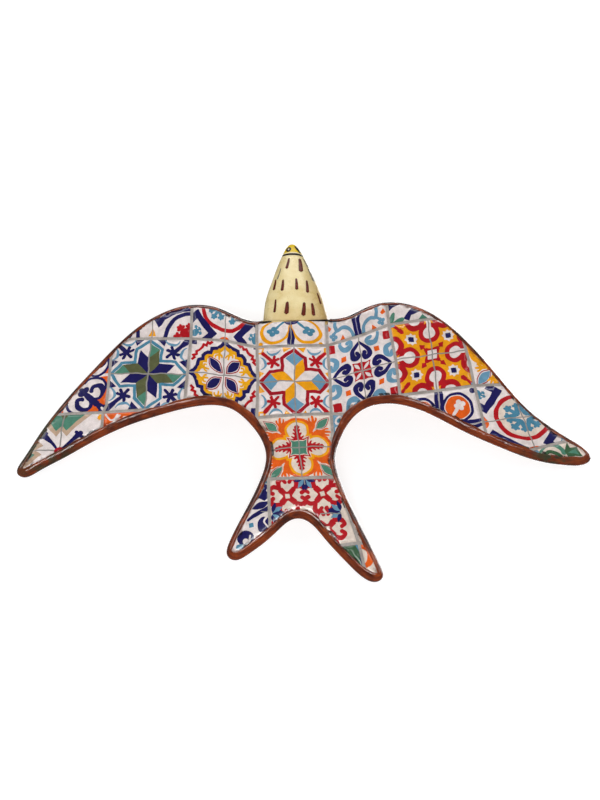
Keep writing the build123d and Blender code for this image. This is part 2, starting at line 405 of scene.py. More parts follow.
def triangles(loop, shapes, step):
    """Triangles that fill the loop and follow every shape's edge: points, faces."""
    low, high = loop.min(0), loop.max(0)
    xs, zs = np.meshgrid(np.arange(low[0], high[0], step), np.arange(low[1], high[1], step))
    grid = np.stack([xs.ravel(), zs.ravel()], 1)
    grid[:, 0] += 0.37 * step * np.sin(grid[:, 1] * 7.1)
    grid = grid[inside(grid, loop)]
    grid = grid[distance(grid, loop) > 0.45 * step]
    points, edges = [], []
    for ring in [loop] + shapes:
        first = len(points)
        points += [Vector(p) for p in ring]
        edges += [(first + i, first + (i + 1) % len(ring)) for i in range(len(ring))]
    points += [Vector(p) for p in grid]
    found = delaunay_2d_cdt(points, edges, [], 0, 1e-5)
    flat = np.array([tuple(v) for v in found[0]])
    faces = np.array([f for f in found[2]])
    middles = flat[faces].mean(1)
    keep = inside(middles, loop)
    return flat, faces[keep], middles[keep]


def compact(flat, faces):
    """The points the faces use, and the faces numbered to match."""
    used, numbers = np.unique(faces, return_inverse=True)
    return flat[used], numbers.reshape(faces.shape)


def outward(faces):
    """The triangles turned to face away from the wall."""
    return [tuple(int(i) for i in face[::-1]) for face in faces]


def rolled(flat):
    """Distance from the wall to the front, which rolls over softly towards the outline."""
    neck_part = np.clip((28 - np.abs(flat[:, 0] - NECK_X)) / 4, 0, 1) * np.clip((flat[:, 1] - 2) / 5, 0, 1)
    roll = 1.7 * np.exp(-distance(flat, outline) / 5.0) * (1 - neck_part)
    return front_depth(flat[:, 0], flat[:, 1]) - roll


def on_front(flat, lift):
    """Points across and up, set on the slab's front and lifted off it."""
    depth = rolled(flat) + lift
    return np.stack([flat[:, 0], -depth, flat[:, 1]], 1)


def facing_object(name, tile, shapes):
    """A painted facing: its packed outline, its pattern as coloured faces, and a thin side."""
    loop = filled(front_loops(name)[0], 1.5)
    (cx, cz), (rx, rz), (ux, uz) = tile
    wobble = 0.012

    def placed(ring):
        u, v = np.array(ring, float).T
        u, v = (
            u + wobble * np.sin(9 * v + cx) + 0.5 * wobble * np.sin(23 * v + 2 * u + cz),
            v + wobble * np.sin(8 * u + cz) + 0.5 * wobble * np.sin(21 * u + 3 * v + cx),
        )
        return np.stack([cx + u * rx + v * ux, cz + u * rz + v * uz], 1)

    rings = [placed(filled(np.array(ring, float), 0.09)) for _, ring in shapes[1:]]
    near = [r for r in rings if inside(r, loop).any() or inside(loop, r).any()]
    flat, faces, middles = triangles(loop, near, 3.0)
    colours = np.tile(PAINT[shapes[0][0]], (len(faces), 1))
    for (paint, _), ring in zip(shapes[1:], rings):
        colours[inside(middles, ring)] = PAINT[paint]
    flat, faces = compact(flat, faces)
    edge = distance(flat, loop)
    points = on_front(flat, FACING - 0.22 * np.exp(-edge / 0.5))
    count = len(points)
    skirt = on_front(loop, 0.2)
    tops = [int(np.argmin(((flat - p) ** 2).sum(1))) for p in loop]
    sides = []
    for i in range(len(loop)):
        j = (i + 1) % len(loop)
        sides.append((tops[i], tops[j], count + j, count + i))
    made = new_object(
        name + "_glazed",
        np.vstack([points, skirt]),
        outward(faces) + sides,
        ["painted_tin_glaze"],
    )
    mesh = made.data
    side_colour = np.tile(PAINT["line"], (len(sides), 1))
    per_face = np.vstack([colours, side_colour])
    paint = mesh.attributes.new("paint", "FLOAT_COLOR", "FACE")
    paint.data.foreach_set("color", per_face.astype(np.float32).ravel())
    rim = mesh.attributes.new("rim", "FLOAT", "POINT")
    reach = np.vstack([flat, loop])
    neck_part = np.clip((27 - np.abs(reach[:, 0] - NECK_X)) / 3, 0, 1) * np.clip(
        (reach[:, 1] - 5) / 4,
        0,
        1,
    )
    rim.data.foreach_set("value", (distance(reach, outline) + 8 * neck_part).astype(np.float32))
    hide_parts(name)
    return made


# ---------------------------------------------------------------- brush strokes, in tile units from -1 to 1


def disc(x, y, r, ry=None, turn=0.0, count=22):
    """A filled round or oval spot."""
    ry = r if ry is None else ry
    a = np.linspace(0, 2 * math.pi, count, endpoint=False)
    c, s = math.cos(turn), math.sin(turn)
    px, py = r * np.cos(a), ry * np.sin(a)
    return np.stack([x + px * c - py * s, y + px * s + py * c], 1)


def bar(x, y, w, h=None, turn=0.0):
    """A filled rectangle about its middle."""
    h = w if h is None else h
    c, s = math.cos(turn), math.sin(turn)
    corners = np.array([(-w, -h), (w, -h), (w, h), (-w, h)]) / 2
    return np.stack(
        [x + corners[:, 0] * c - corners[:, 1] * s, y + corners[:, 0] * s + corners[:, 1] * c],
        1,
    )


def stroke(path, start, end=None, middle=None):
    """A brush stroke along a path, with its width at the start, the middle and the end."""
    path = np.array(path, float)
    end = start if end is None else end
    middle = (start + end) / 2 if middle is None else middle
    smooth = []
    for t in np.linspace(0, len(path) - 1, (len(path) - 1) * 5 + 1):
        i = min(int(t), len(path) - 2)
        f = t - i
        p0, p1, p2, p3 = path[max(i - 1, 0)], path[i], path[i + 1], path[min(i + 2, len(path) - 1)]
        bend = (2 * p0 - 5 * p1 + 4 * p2 - p3) * f * f + (3 * p1 - p0 - 3 * p2 + p3) * f**3
        smooth.append(0.5 * (2 * p1 + (p2 - p0) * f + bend))
    smooth = np.array(smooth)
    ahead = np.gradient(smooth, axis=0)
    ahead /= np.maximum(np.hypot(*ahead.T), 1e-9)[:, None]
    across = np.stack([-ahead[:, 1], ahead[:, 0]], 1)
    width = np.interp(np.linspace(0, 1, len(smooth)), [0, 0.5, 1], [start, middle, end]) / 2
    left, right = smooth + across * width[:, None], smooth - across * width[:, None]
    tip = smooth[-1] + ahead[-1] * width[-1] * 0.8
    tail = smooth[0] - ahead[0] * width[0] * 0.8
    return np.vstack([left, tip, right[::-1], tail])


def strip(path, width):
    """A straight-sided band with square corners along an open path."""
    path = np.array(path, float)
    steps = np.diff(path, axis=0)
    steps /= np.hypot(*steps.T)[:, None]
    ahead = np.vstack([steps[:1], steps])
    behind = np.vstack([steps, steps[-1:]])
    square = ahead + behind
    square /= (1 + (ahead * behind).sum(1))[:, None]
    across = np.stack([-square[:, 1], square[:, 0]], 1) * width / 2
    return np.vstack([path + across, (path - across)[::-1]])


def around(points):
    """A closed ring from the points of its first quarter, top to right, repeated four times."""
    return np.vstack([turned([("", np.array(points, float))], -90 * k)[0][1] for k in range(4)])


def bordered(ring, width, paint, fill):
    """A closed ring drawn as an even line and filled."""
    before, after = ring - np.roll(ring, 1, 0), np.roll(ring, -1, 0) - ring
    before /= np.hypot(*before.T)[:, None]
    after /= np.hypot(*after.T)[:, None]
    square = (before + after) / np.maximum(1 + (before * after).sum(1), 0.35)[:, None]
    out = np.stack([-square[:, 1], square[:, 0]], 1) * width / 2
    return [(paint, ring + out), (fill, ring - out)]


def arc(x, y, r, start, end, count=9):
    """Points along an arc, angles in degrees."""
    a = np.radians(np.linspace(start, end, count))
    return np.stack([x + r * np.cos(a), y + r * np.sin(a)], 1)


def leaf(x0, y0, x1, y1, width):
    """A pointed leaf between two points."""
    t = np.linspace(0, 1, 9)[:, None]
    spine = np.array([(x0, y0)]) * (1 - t) + np.array([(x1, y1)]) * t
    across = np.array([(y0 - y1, x1 - x0)]) / math.hypot(x1 - x0, y1 - y0) * np.sin(math.pi * t) * width / 2
    return np.vstack([spine + across, (spine - across)[-2:0:-1]])


def turned(shapes, degrees):
    """The shapes turned about the tile's middle."""
    a = math.radians(degrees)
    c, s = math.cos(a), math.sin(a)
    spin = np.array([(c, s), (-s, c)])
    return [(paint, np.asarray(ring) @ spin) for paint, ring in shapes]


def moved(shapes, x, y):
    """The shapes moved sideways."""
    return [(paint, np.asarray(ring) + (x, y)) for paint, ring in shapes]


def mirrored(shapes):
    """The shapes and their mirror images across the upright line."""
    return shapes + [(paint, np.asarray(ring)[::-1] * (-1, 1)) for paint, ring in shapes]


def crossed(shapes):
    """The shapes and their mirror images across the diagonal."""
    return shapes + [(paint, np.asarray(ring)[::-1, ::-1]) for paint, ring in shapes]


def four(shapes):
    """The shapes repeated in all four quarters."""
    return [shape for k in range(4) for shape in turned(shapes, 90 * k)]


def sprig(x, y, size, paint, heading):
    """A five-lobed sprig with its stem, the stem pointing along heading in degrees."""
    shapes = []
    for angle, reach in ((0, 2.1), (62, 0.9), (112, 0.95), (180, 1.05), (248, 0.95), (298, 0.9)):
        a = math.radians(heading + angle)
        tip = (x + reach * size * math.cos(a), y + reach * size * math.sin(a))
        widths = (size * 0.55, size * 0.6) if angle == 0 else (size * 0.42, size * 0.46)
        shapes.append((paint, stroke([(x, y), ((x + tip[0]) / 2, (y + tip[1]) / 2), tip], *widths)))
    return shapes


def coral(x, y, size, paint, heading):
    """A branching coral of round-ended twigs."""
    shapes = []
    for angle in (-58, 0, 58):
        a = math.radians(heading + angle)
        ex, ey = x + size * math.cos(a), y + size * math.sin(a)
        shapes.append(
            (paint, stroke([(x, y), ((x + ex) / 2, (y + ey) / 2), (ex, ey)], size * 0.5, size * 0.5))
        )
        for twist in (-80, -25, 30, 85):
            b = math.radians(heading + angle + twist)
            tip = (ex + 0.42 * size * math.cos(b), ey + 0.42 * size * math.sin(b))
            middle = ((ex + tip[0]) / 2, (ey + tip[1]) / 2)
            shapes.append((paint, stroke([(ex, ey), middle, tip], size * 0.28, size * 0.36)))
    return shapes


def clover(x, y, r, paint):
    """Four round lobes."""
    return [
        (paint, disc(x + r * math.cos(a), y + r * math.sin(a), r * 0.84, count=14))
        for a in (0.3, 1.87, 3.44, 5.01)
    ]


def quarter_lines():
    """The thin grey lines where the four quarters of a pattern meet."""
    return [("line", bar(0, 0, 0.035, 2.3)), ("line", bar(0, 0, 2.3, 0.035))]


def curl(path, width, paint, ball=0.75):
    """A tapering stroke that ends in a round dab."""
    return [
        (paint, stroke(path, width * 0.45, width * 0.8, width * 1.1)),
        (paint, disc(path[-1][0], path[-1][1], width * ball, count=14)),
    ]


def eight_star(right, left, right_tip, left_tip, edge, width, corner):
    """A turning eight-point star in a stepped border, with sprigs and crescents in the corners."""
    border = around([(0, 0.96), (0.31, 0.69), (0.31, 0.35), (0.69, 0.35)])
    quarter = [
        ("blue", stroke(arc(0.57, 1.02, 0.2, 200, 340), 0.02, 0.02, 0.085)),
        ("blue", stroke(arc(1.02, 0.57, 0.2, 110, 250), 0.02, 0.02, 0.085)),
    ] + sprig(0.6, 0.6, 0.19, corner, 45)
    star = [
        (right, [(0, 0), (0.28, 0.28), (0.25, 0.68), (0, 0.46)]),
        (left, [(0, 0), (0, 0.46), (-0.25, 0.68), (-0.28, 0.28)]),
        (right_tip, [(0, 0.46), (0.25, 0.68), (0, 0.89)]),
        (left_tip, [(0, 0.46), (0, 0.89), (-0.25, 0.68)]),
    ]
    return four(quarter) + bordered(border, width, edge, "white") + four(star) + quarter_lines()


# ---------------------------------------------------------------- the patterns


def navy_star():
    """Navy and olive star in a teal border."""
    wedges = crossed([("navy", [(0.1, 1.04), (0.44, 1.04), (0.36, 0.78)])])
    corner = [("navy", stroke([(0.8, 0.8), (1.02, 1.02)], 0.12, 0.2))]
    return [("white", None)] + four(wedges + corner) + eight_star(
        "olive",
        "navy",
        "green",
        "white",
        "teal",
        0.08,
        "navy",
    )


def amber_star():
    """Amber and white star in a wine border."""
    corner = crossed([("amber", [(0.08, 1.02), (0.34, 1.02), (0.28, 0.86)])]) + [
        ("amber", bar(0.95, 0.95, 0.2)),
        ("white", bar(0.96, 0.96, 0.1)),
    ]
    return [("white", None)] + four(corner) + eight_star(
        "amber",
        "white",
        "blue",
        "blue",
        "wine",
        0.1,
        "red",
    )


def yellow_leaf():
    """Four navy petals in a yellow stepped ring, with red combs in the corners."""
    edge = [(0, 1.0), (0.08, 0.87), (0.2, 0.78), (0.38, 0.73), (0.4, 0.61), (0.5, 0.61)]
    edge += [(0.56, 0.56), (0.61, 0.5), (0.61, 0.4), (0.73, 0.38), (0.78, 0.2), (0.87, 0.08)]
    ring = around(edge)
    comb = [(0.36, 0.94), (0.44, 0.86), (0.5, 0.9), (0.54, 0.8), (0.62, 0.82), (0.66, 0.74), (0.7, 0.7)]
    comb += [(y, x) for x, y in comb[-2::-1]]
    quarter = [("red", strip(comb, 0.075)), ("navy", bar(0.97, 0.97, 0.3))]
    sprigs = crossed([
        ("yellow", stroke([(0.16, 0.74), (0.15, 0.6), (0.13, 0.45)], 0.1, 0.05, 0.07)),
        ("yellow", stroke([(0.15, 0.6), (0.08, 0.56), (0.05, 0.5)], 0.06, 0.05)),
        ("yellow", stroke([(0.15, 0.6), (0.24, 0.56), (0.25, 0.5)], 0.06, 0.05)),
        ("yellow", stroke([(0.16, 0.66), (0.26, 0.64), (0.32, 0.6)], 0.06, 0.05)),
    ])
    petals = [
        ("wine", leaf(0.05, 0.04, 0.5, 0.45, 0.34)),
        ("white", leaf(0.08, 0.07, 0.47, 0.42, 0.28)),
        ("navy", leaf(0.09, 0.08, 0.46, 0.41, 0.24)),
    ]
    shapes = [("white", None)] + four(quarter) + bordered(ring, 0.1, "navy", "yellow")
    return shapes + bordered(
        ring * 0.84,
        0.06,
        "yellow",
        "white",
    ) + four(sprigs) + four(petals) + quarter_lines()


def heart_scroll():
    """Four navy hearts of paired scrolls, with blue commas between them."""
    half = curl(
        [(0.0, 0.87), (0.12, 0.74), (0.24, 0.6), (0.25, 0.45), (0.15, 0.38), (0.08, 0.46), (0.11, 0.53)],
        0.15,
        "navy",
        0.45,
    )
    comma = curl(
        [(0.56, 1.08), (0.56, 0.88), (0.45, 0.74), (0.29, 0.78), (0.25, 0.9), (0.34, 0.92)],
        0.155,
        "blue",
        0.4,
    )
    corner = crossed(comma) + [("orange", bar(0.48, 0.52, 0.15)), ("red", bar(0.85, 0.85, 0.25))]
    centre = [
        ("red", [(0.02, 0.02), (0.02, 0.27), (0.14, 0.24), (0.28, 0.28), (0.24, 0.14), (0.27, 0.02)]),
        ("white", leaf(0.05, 0.05, 0.23, 0.23, 0.09)),
    ]
    return [("white", None)] + four(corner) + four(mirrored(half)) + four(centre) + quarter_lines()


def amber_keyhole():
    """Red keyhole rings and starred navy squares on amber."""
    rings = [
        ("red", disc(x, y, r, count=28))
        for x, y, r in ((0, 0.62, 0.29), (0.38, 1.0, 0.28), (-0.38, 1.0, 0.28))
    ]
    white = [("white", disc(x, y, 0.165)) for x, y in ((0, 0.62), (0.38, 1.04), (-0.38, 1.04))]
    white.append(("white", bar(0, 0.9, 0.12, 0.4)))
    star = []
    for k in range(16):
        reach, a = (0.175, 0.13)[k % 2], math.radians(22.5 * k)
        star.append((0.5 + reach * math.cos(a), 0.5 + reach * math.sin(a)))
    arrows = [
        ("white", star),
        ("navy", disc(0.5, 0.5, 0.075)),
        ("navy", bar(0.5, 0.5, 0.14)),
        ("red", stroke([(0.12, 0.12), (0.22, 0.22)], 0.05)),
        ("red", [(0.18, 0.3), (0.2, 0.2), (0.3, 0.18), (0.33, 0.33)]),
        ("red", stroke([(1.02, 1.02), (0.8, 0.8)], 0.12, 0.06)),
        ("red", [(0.68, 0.76), (0.68, 0.68), (0.76, 0.68), (0.86, 0.78), (0.78, 0.86)]),
        ("blue", bar(0.98, 0.98, 0.12)),
        ("red", stroke([(-0.16, 0.2), (0, 0.15), (0.16, 0.2)], 0.04, 0.04)),
    ]
    shapes = [("amber", None)] + four(rings) + four(white) + four(arrows)
    return shapes + [("red", bar(0, 0, 0.34)), ("white", bar(0, 0, 0.25))] + quarter_lines()


def quatrefoil():
    """Cream flower in amber and orange bands, with green leaves in the corners."""
    rings = []
    for radius, reach, paint in ((0.43, 0.94, "orange"), (0.35, 0.80, "amber"), (0.28, 0.66, "cream")):
        rings.append((paint, bar(0, 0, reach)))
        rings += four([(paint, disc(0, 0.52, radius, count=30))])
    corner = crossed([
        ("orange", stroke([(0.42, 0.5), (0.48, 0.66), (0.46, 0.96)], 0.1, 0.06, 0.1)),
        ("orange", stroke([(0.49, 0.7), (0.38, 0.8), (0.36, 0.9)], 0.07, 0.05)),
        ("orange", stroke([(0.49, 0.7), (0.56, 0.82), (0.56, 0.9)], 0.07, 0.05)),
        ("orange", stroke([(0.5, 0.58), (0.34, 0.76), (0.28, 0.84)], 0.07, 0.05)),
    ]) + [
        ("wine", leaf(0.54, 0.52, 0.94, 0.94, 0.27)),
        ("cream", leaf(0.55, 0.53, 0.92, 0.92, 0.22)),
        ("green", leaf(0.56, 0.55, 0.9, 0.9, 0.2)),
    ]
    arm = [("red", stroke([(0, 0.24), (0, 0.46), (0, 0.7)], 0.22, 0.08))]
    for y, reach in ((0.31, 0.17), (0.42, 0.12), (0.53, 0.09), (0.62, 0.06)):
        arm += mirrored([("red", stroke([(0.0, y), (reach * 0.6, y), (reach, y + 0.05)], 0.09, 0.04))])
    badge = around([(0.0, 0.21), (0.13, 0.2), (0.24, 0.24), (0.2, 0.13)])
    shapes = [("cream", None)] + four(corner) + rings + four(arm)
    return shapes + [("red", badge * 1.36), ("cream", badge * 1.12), ("green", badge)] + quarter_lines()


def loops_throat():
    """Paired amber loops round teal clovers."""
    loop = [
        (0.2, 0.02), (0.54, -0.02), (0.8, -0.24), (0.85, -0.56), (0.67, -0.8), (0.4, -0.85),
        (0.16, -0.66), (0.04, -0.34), (0.02, -0.12),
    ]
    side = [
        ("amber", stroke(loop, 0.05, 0.05, 0.13)),
        ("teal", stroke([(0.2, -0.06), (0.36, -0.24), (0.5, -0.4)], 0.075)),
        ("amber", disc(0.88, -0.88, 0.065, 0.08)),
        ("navy", stroke([(0.01, -0.25), (0.06, -0.7), (0.05, -1.04)], 0.03, 0.08, 0.1)),
    ] + clover(0.52, -0.42, 0.105, "teal")
    ends = [
        ("navy", stroke([(0.55, 0.08), (0.84, 0.1), (1.2, 0.12)], 0.08, 0.12)),
        ("navy", stroke([(-0.92, 0.0), (-0.6, 0.05)], 0.08)),
    ]
    return [("white", None)] + mirrored(side) + ends + [
        ("navy", disc(0, 0.02, 0.23, 0.18)),
        ("line", bar(0, -0.5, 0.03, 1.1)),
    ]


def blue_scroll_shoulder():
    """Blue scrolls beside a navy stem."""
    side = [
        (
            "blue",
            stroke(
                [
                    (0.16, -1.02), (0.22, -0.76), (0.44, -0.62), (0.62, -0.66), (0.68, -0.52),
                    (0.68, -0.34), (0.86, -0.28),
                ],
                0.11,
            ),
        ),
        ("blue", stroke([(0.6, -0.64), (0.72, -0.7), (0.76, -0.78)], 0.09)),
        ("orange", [(0.42, -1.02), (0.48, -0.82), (0.62, -0.98)]),
        ("orange", [(0.8, -0.54), (0.86, -0.62), (0.98, -0.58), (0.9, -0.44)]),
        ("navy", stroke([(0.06, -1.04), (0.06, -0.6), (0.1, -0.42), (0.26, -0.3)], 0.11, 0.05, 0.12)),
    ] + clover(0.78, -0.8, 0.07, "blue")
    return [("white", None)] + mirrored(side) + [("lilac", bar(0, -0.74, 0.03, 0.6))]


def ring_corner(paint):
    """Three sides of a navy frame round a coral, set in a corner."""
    frame_line = [(0.62, 1.08), (0.38, 0.86), (0.86, 0.38), (1.08, 0.62)]
    return [("navy", strip(frame_line, 0.19))] + coral(0.86, 0.86, 0.11, paint, 225) + [
        (paint, disc(0.9, 0.9, 0.1))
    ]


def ring_tile():
    """Red ring with blue corals, framed corals in the corners and orange bows at the edges."""
    quarter = coral(0.1, 0.1, 0.24, "teal", 45) + ring_corner("teal") + [
        ("orange", disc(0, 1.02, 0.2, 0.12))
    ]
    disc_pair = [("red", disc(0, 0, 0.72, count=44)), ("cream", disc(0, 0, 0.6, count=44))]
    return [("white", None)] + disc_pair + four(quarter) + quarter_lines()


def ring_shoulder():
    """The same pattern where only the lower part of the ring shows."""
    quarter = ring_corner("teal") + [("orange", disc(0, 1.04, 0.16, 0.14))] + coral(
        0.24,
        0.2,
        0.2,
        "teal",
        60,
    )
    disc_pair = [("red", disc(0, 0, 0.79, count=44)), ("white", disc(0, 0, 0.68, count=44))]
    return [("white", None)] + disc_pair + four(quarter) + [("line", bar(0, -0.3, 0.03, 1.5))]


def red_coral():
    """Red coral in a navy ring, beside a navy wedge."""
    wedge = [
        (0.02, -0.44), (0.16, -0.7), (0.24, -0.62), (0.34, -0.48), (0.5, -0.37), (0.8, -0.27),
        (1.05, -0.23), (1.05, -0.1), (0.7, -0.12), (0.4, -0.24), (0.2, -0.42),
    ]
    shapes = [("white", None), ("navy", wedge)]
    shapes += [("navy", disc(1.05, -1.02, 0.77, count=44)), ("white", disc(1.05, -1.02, 0.66, count=44))]
    shapes += coral(0.9, -0.92, 0.24, "red", 130) + [("red", disc(0.9, -0.9, 0.2, count=16))]
    return shapes + [
        ("orange", disc(1.0, -0.06, 0.12, 0.1)),
        ("amber", [(-0.1, -0.95), (0, -0.72), (0.1, -0.95)]),
        ("navy", bar(-0.38, -0.86, 0.1, 0.3, 0.15)),
        ("navy", bar(-0.62, -0.96, 0.12, 0.2, -0.5)),
        ("line", bar(0, -0.7, 0.03, 0.7)),
    ]


def chevron_tip():
    """Green chevrons over navy petals."""
    side = mirrored([
        ("beige", [(0, 0.55), (0, 0.68), (0.12, 0.54), (0.53, 1.05), (0.72, 1.05), (0.12, 0.38)]),
        ("green", [(0, 0.68), (0, 0.82), (0.14, 1.05), (0.56, 1.05), (0.12, 0.54)]),
        ("olive", [(0, 0.82), (0.14, 1.05), (0, 1.05)]),
    ])
    petal = [
        ("navy", stroke([(0.07, 0.07), (0.22, 0.22), (0.4, 0.4)], 0.05, 0.15, 0.09)),
        ("navy", disc(0.36, 0.46, 0.05)),
        ("navy", disc(0.46, 0.36, 0.05)),
        ("navy", disc(0.46, 0.46, 0.055)),
        ("amber", bar(0.86, 0.88, 0.13, 0.13, 0.5)),
        ("amber", bar(0.86, 0.88, 0.13, 0.13, 1.2)),
    ]
    return [("white", None)] + four(side) + four(petal) + quarter_lines() + [
        ("wine", disc(0, 0, 0.1)),
        ("white", bar(0, 0, 0.03, 0.03, 0.4)),
    ]


def scroll_left():
    """Navy double scrolls in round frames on an orange ground."""
    lobes = [("navy", disc(*spot)) for spot in ((0.34, 0.66, 0.33), (0.7, 0.3, 0.33), (0.4, 0.4, 0.28))]
    lobes += [
        ("white", disc(*spot))
        for spot in ((0.34, 0.66, 0.265), (0.7, 0.3, 0.265), (0.42, 0.42, 0.22))
    ]
    scroll = [(0.6, 0.6), (0.6, 0.82), (0.42, 0.9), (0.27, 0.8), (0.28, 0.65), (0.4, 0.62)]
    lobes += crossed(curl(scroll, 0.115, "navy", 0.5))
    lobes += [
        ("navy", stroke([(0.42, 0.42), (0.58, 0.58), (0.76, 0.76)], 0.1, 0.18, 0.16)),
        ("navy", disc(0.36, 0.48, 0.08)),
        ("navy", disc(0.48, 0.36, 0.08)),
        ("navy", disc(0.38, 0.38, 0.07)),
        ("navy", stroke([(0.7, 0.72), (0.84, 0.82), (0.9, 1.04)], 0.08, 0.16)),
        ("navy", stroke([(0.72, 0.7), (0.82, 0.84), (1.04, 0.9)], 0.08, 0.16)),
        ("white", stroke([(0.86, 0.86), (1.04, 1.04)], 0.03, 0.12)),
    ]
    shapes = [("orange", None), ("white", bar(0, 0, 0.12, 2.2)), ("white", bar(0, 0, 2.2, 0.08))]
    return shapes + four(lobes)


def orange_streak():
    """White brush marks on orange."""
    return [
        ("orange", None),
        ("white", [(-0.8, 0.58), (-0.56, 0.72), (-0.2, 0.86), (-0.3, 0.93), (-0.62, 0.93)]),
        ("white", stroke([(-1.06, 0.98), (-0.96, 0.82), (-0.84, 0.86), (-0.76, 0.98)], 0.05)),
        ("white", stroke([(-1.08, 0.56), (-0.92, 0.72), (-0.7, 0.96)], 0.05)),
        ("orange", stroke([(-0.7, 0.64), (-0.62, 0.82), (-0.46, 0.9)], 0.06)),
        ("white", stroke([(-0.1, 0.92), (0.1, 0.94), (0.4, 0.98)], 0.05)),
    ]


def navy_bars():
    """Navy bars over green leaves."""
    return [
        ("white", None),
        ("navy", [(-1.02, -0.36), (-0.98, -0.62), (-0.88, -0.52), (-0.66, -0.44), (-0.7, -0.34)]),
        (
            "navy",
            [(-0.34, -0.56), (-0.62, -0.86), (-0.46, -0.96), (-0.4, -0.82), (-0.1, -0.72), (-0.14, -0.6)],
        ),
        ("green", stroke([(-0.98, -0.98), (-0.9, -0.8), (-0.86, -0.68)], 0.16, 0.08)),
        ("green", stroke([(-0.88, -0.99), (-0.74, -0.92), (-0.62, -0.86)], 0.12, 0.1, 0.15)),
        ("amber", disc(-0.86, -0.98, 0.08, 0.05)),
        ("green", [(-0.28, -1.02), (-0.1, -0.82), (0.1, -1.02)]),
        ("green", [(0.16, -1.02), (0.3, -0.9), (0.5, -1.02)]),
    ]


def orange_arches():
    """Orange drops in navy arches, each with a white bud."""
    quarter = [
        ("navy", disc(0.46, 0.49, 0.42, count=34)),
        ("navy", [(0.1, 0.4), (0.4, 0.1), (0.05, 0.05)]),
        ("white", disc(0.46, 0.49, 0.345, count=30)),
        ("white", [(0.18, 0.4), (0.4, 0.18), (0.13, 0.13)]),
        ("orange", disc(0.46, 0.49, 0.32, count=30)),
        ("orange", [(0.21, 0.38), (0.38, 0.21), (0.18, 0.18)]),
        ("white", stroke([(0.3, 0.28), (0.42, 0.42), (0.52, 0.54)], 0.09, 0.07)),
        ("navy", disc(0.9, 0.91, 0.08)),
    ] + clover(0.53, 0.55, 0.085, "white")
    side = mirrored([("navy", stroke([(0.02, 0.42), (0.07, 0.7), (0.06, 1.04)], 0.03, 0.09, 0.11))])
    return [("white", None)] + four(quarter) + four(side) + four([("line", bar(0, 0.75, 0.02, 0.5))])


def yellow_sprig():
    """Amber and navy sweeps over a blue leaf."""
    fan = [
        ("amber", stroke([(0, 0), (-0.12, 0.0), (-0.26, 0.02)], 0.12, 0.05)),
        ("amber", stroke([(-0.05, 0), (-0.16, 0.08), (-0.2, 0.12)], 0.07, 0.05)),
        ("amber", stroke([(-0.05, 0), (-0.16, -0.07), (-0.22, -0.08)], 0.07, 0.05)),
    ]
    shapes = [
        ("white", None),
        ("amber", stroke([(-1.06, 0.3), (-0.96, -0.1), (-0.72, -0.34), (-0.3, -0.5)], 0.15)),
        ("navy", stroke([(-0.96, 0.26), (-0.84, -0.04), (-0.62, -0.26), (-0.2, -0.4)], 0.1)),
        ("amber", stroke([(-0.6, -0.46), (-0.42, -0.66), (-0.4, -1.02)], 0.16, 0.14)),
        ("wine", leaf(-0.92, -0.95, -0.52, -0.56, 0.36)),
        ("white", leaf(-0.9, -0.92, -0.54, -0.59, 0.3)),
        ("blue", leaf(-0.88, -0.91, -0.55, -0.61, 0.26)),
    ]
    return shapes + moved(fan, -0.66, -0.48) + moved(turned(fan, 70), -0.44, -0.72)


def green_leaf_tip():
    """Green leaf and strokes on cream."""
    return [
        ("cream", None),
        (
            "green",
            stroke([(-0.22, 0.66), (-0.04, 0.78), (0.2, 0.78), (0.36, 0.62), (0.4, 0.46)], 0.08, 0.14),
        ),
        ("moss", [(0.42, 0.52), (0.56, 0.78), (0.6, 0.58), (0.78, 0.56), (0.82, 0.22), (0.46, 0.34)]),
        ("green", [(0.5, 0.46), (0.72, 0.5), (0.76, 0.3)]),
        ("moss", stroke([(-0.16, 0.52), (0.04, 0.6), (0.2, 0.5), (0.3, 0.38)], 0.12, 0.1)),
        ("wine", stroke([(0.0, 0.44), (0.14, 0.42), (0.26, 0.32)], 0.1, 0.08)),
        ("blue", stroke([(-0.5, 0.76), (-0.34, 0.74), (-0.26, 0.7)], 0.14, 0.08)),
    ]


def red_scroll():
    """Red scrolls round small cream squares, with blue and navy stars between."""
    arm = crossed(
        curl([(0.1, 0.1), (0.23, 0.25), (0.26, 0.42), (0.15, 0.51), (0.07, 0.42)], 0.14, "red", 0.45)
    )
    whirl = four(arm) + four([("red", stroke([(0.04, 0.04), (0.2, 0.2)], 0.17))])
    whirl += [("red", bar(0, 0, 0.27, 0.27, 0.1)), ("cream", bar(0, 0, 0.13, 0.13, 0.1))]
    shapes = [("cream", None)]
    for x, y in ((-0.51, 0.5), (0.51, 0.52), (0.56, -0.5), (-0.51, -0.5)):
        shapes += moved(whirl, x, y)
    star = mirrored([
        ("navy", leaf(0.0, 1.0, 0.04, 0.62, 0.16)),
        ("blue", leaf(0.02, 1.0, 0.2, 0.7, 0.13)),
        ("navy", leaf(0.02, 1.0, 0.32, 0.9, 0.13)),
    ])
    return shapes + four(star) + [("line", bar(0.7, -0.06, 0.6, 0.03)), ("line", bar(0, 0.9, 0.03, 0.2))]


